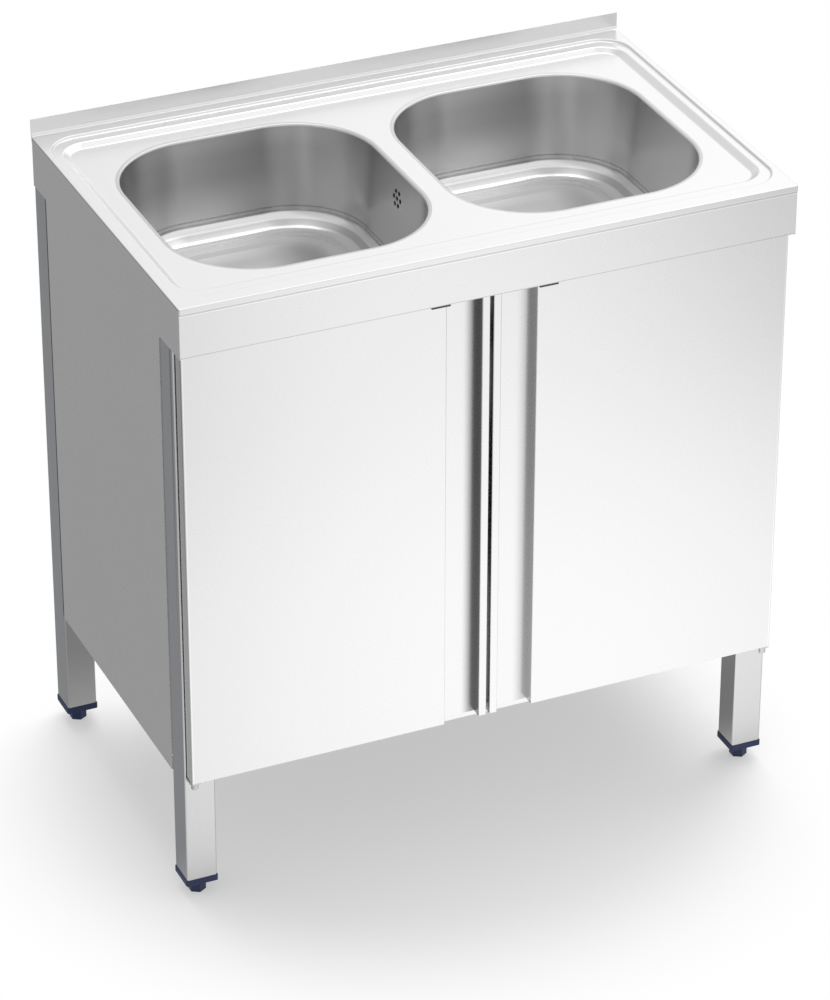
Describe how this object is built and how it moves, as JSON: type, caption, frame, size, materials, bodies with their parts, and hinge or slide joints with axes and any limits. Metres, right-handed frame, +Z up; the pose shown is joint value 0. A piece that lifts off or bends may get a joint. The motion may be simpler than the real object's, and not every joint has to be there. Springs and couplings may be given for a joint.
{
  "type": "kitchen sink unit",
  "caption": "Free-standing steel sink cabinet with bowls side by side, a rear upstand, hinged doors with full-height grip channels and adjustable feet.",
  "frame": {"origin": "on the floor, under the middle of the unit's outline", "axes": "+X to the right seen from the doors, +Y from the doors to the wall, +Z up"},
  "size_m": [0.8, 0.5, 0.864],
  "materials": {
    "sink_steel": "bright satin pressed stainless steel",
    "cabinet_steel": "satin stainless sheet",
    "door_steel": "satin stainless sheet",
    "tube_steel": "satin stainless tube",
    "fitting_steel": "plain steel",
    "navy_plastic": "moulded, slightly satin",
    "dark_plastic": "moulded",
    "bush_plastic": "moulded nylon",
    "pipe_plastic": "moulded white polypropylene",
    "rubber": "matt",
    "hose_rubber": "flexible grey hose"
  },
  "bodies": {
    "cabinet": {"sink_top": "sink_steel", "bowl_left": "sink_steel", "bowl_right": "sink_steel", "front_apron": "cabinet_steel", "side_panel_left": "cabinet_steel", "side_panel_right": "cabinet_steel", "back_panel": "cabinet_steel", "bottom_shelf": "cabinet_steel", "shelf_stiffener": "cabinet_steel", "front_rail": "cabinet_steel", "rear_rail": "cabinet_steel", "centre_stiffener": "cabinet_steel", "leg_front_left": "tube_steel", "leg_front_right": "tube_steel", "leg_rear_left": "tube_steel", "leg_rear_right": "tube_steel", "leg_cap_front_left": "navy_plastic", "leg_cap_front_right": "navy_plastic", "leg_cap_rear_left": "navy_plastic", "leg_cap_rear_right": "navy_plastic", "hinge_brackets_lower": "fitting_steel", "hinge_brackets_upper": "fitting_steel", "hinge_pins_lower": "fitting_steel", "hinge_pins_upper": "fitting_steel", "magnetic_catch_left": "dark_plastic", "magnetic_catch_right": "dark_plastic", "catch_screws": "fitting_steel", "door_bumpers": "rubber", "panel_screws": "fitting_steel", "waste_flange_left": "fitting_steel", "waste_flange_right": "fitting_steel", "waste_gaskets": "rubber", "waste_body_left": "pipe_plastic", "waste_body_right": "pipe_plastic", "waste_screws": "fitting_steel", "overflow_collector_left": "pipe_plastic", "overflow_collector_right": "pipe_plastic", "overflow_hose_left": "hose_rubber", "overflow_hose_right": "hose_rubber", "drain_pipe_left": "pipe_plastic", "drain_pipe_right": "pipe_plastic", "drain_tee": "pipe_plastic", "trap_body": "pipe_plastic", "trap_cup": "pipe_plastic", "outlet_pipe": "pipe_plastic", "pipe_nuts": "pipe_plastic"},
    "door_left": {"door_skin_left": "door_steel", "door_liner_left": "door_steel", "pivot_bushes_left": "bush_plastic", "strike_plate_left": "fitting_steel"},
    "plug_left": {"drain_plug_left": "rubber"},
    "door_right": {"door_skin_right": "door_steel", "door_liner_right": "door_steel", "pivot_bushes_right": "bush_plastic", "strike_plate_right": "fitting_steel"},
    "plug_right": {"drain_plug_right": "rubber"},
    "foot_front_left": {"foot_front_left": "navy_plastic"},
    "foot_front_right": {"foot_front_right": "navy_plastic"},
    "foot_rear_left": {"foot_rear_left": "navy_plastic"},
    "foot_rear_right": {"foot_rear_right": "navy_plastic"}
  },
  "joints": [
    {"name": "door_left_hinge", "type": "hinge", "parent": "cabinet", "child": "door_left", "pos_m": [-0.3895, -0.232, 0.4775], "axis": [0, 0, -1], "range_deg": [0, 110]},
    {"name": "door_right_hinge", "type": "hinge", "parent": "cabinet", "child": "door_right", "pos_m": [0.3895, -0.232, 0.4775], "axis": [0, 0, 1], "range_deg": [0, 110]},
    {"name": "foot_front_left_screw", "type": "slide", "parent": "cabinet", "child": "foot_front_left", "axis": [0, 0, -1], "range_m": [0, 0.025]},
    {"name": "foot_front_right_screw", "type": "slide", "parent": "cabinet", "child": "foot_front_right", "axis": [0, 0, -1], "range_m": [0, 0.025]},
    {"name": "foot_rear_left_screw", "type": "slide", "parent": "cabinet", "child": "foot_rear_left", "axis": [0, 0, -1], "range_m": [0, 0.025]},
    {"name": "foot_rear_right_screw", "type": "slide", "parent": "cabinet", "child": "foot_rear_right", "axis": [0, 0, -1], "range_m": [0, 0.025]},
    {"name": "plug_left_lift", "type": "slide", "parent": "cabinet", "child": "plug_left", "axis": [0, 0, 1], "range_m": [0, 0.06]},
    {"name": "plug_right_lift", "type": "slide", "parent": "cabinet", "child": "plug_right", "axis": [0, 0, 1], "range_m": [0, 0.06]}
  ]
}
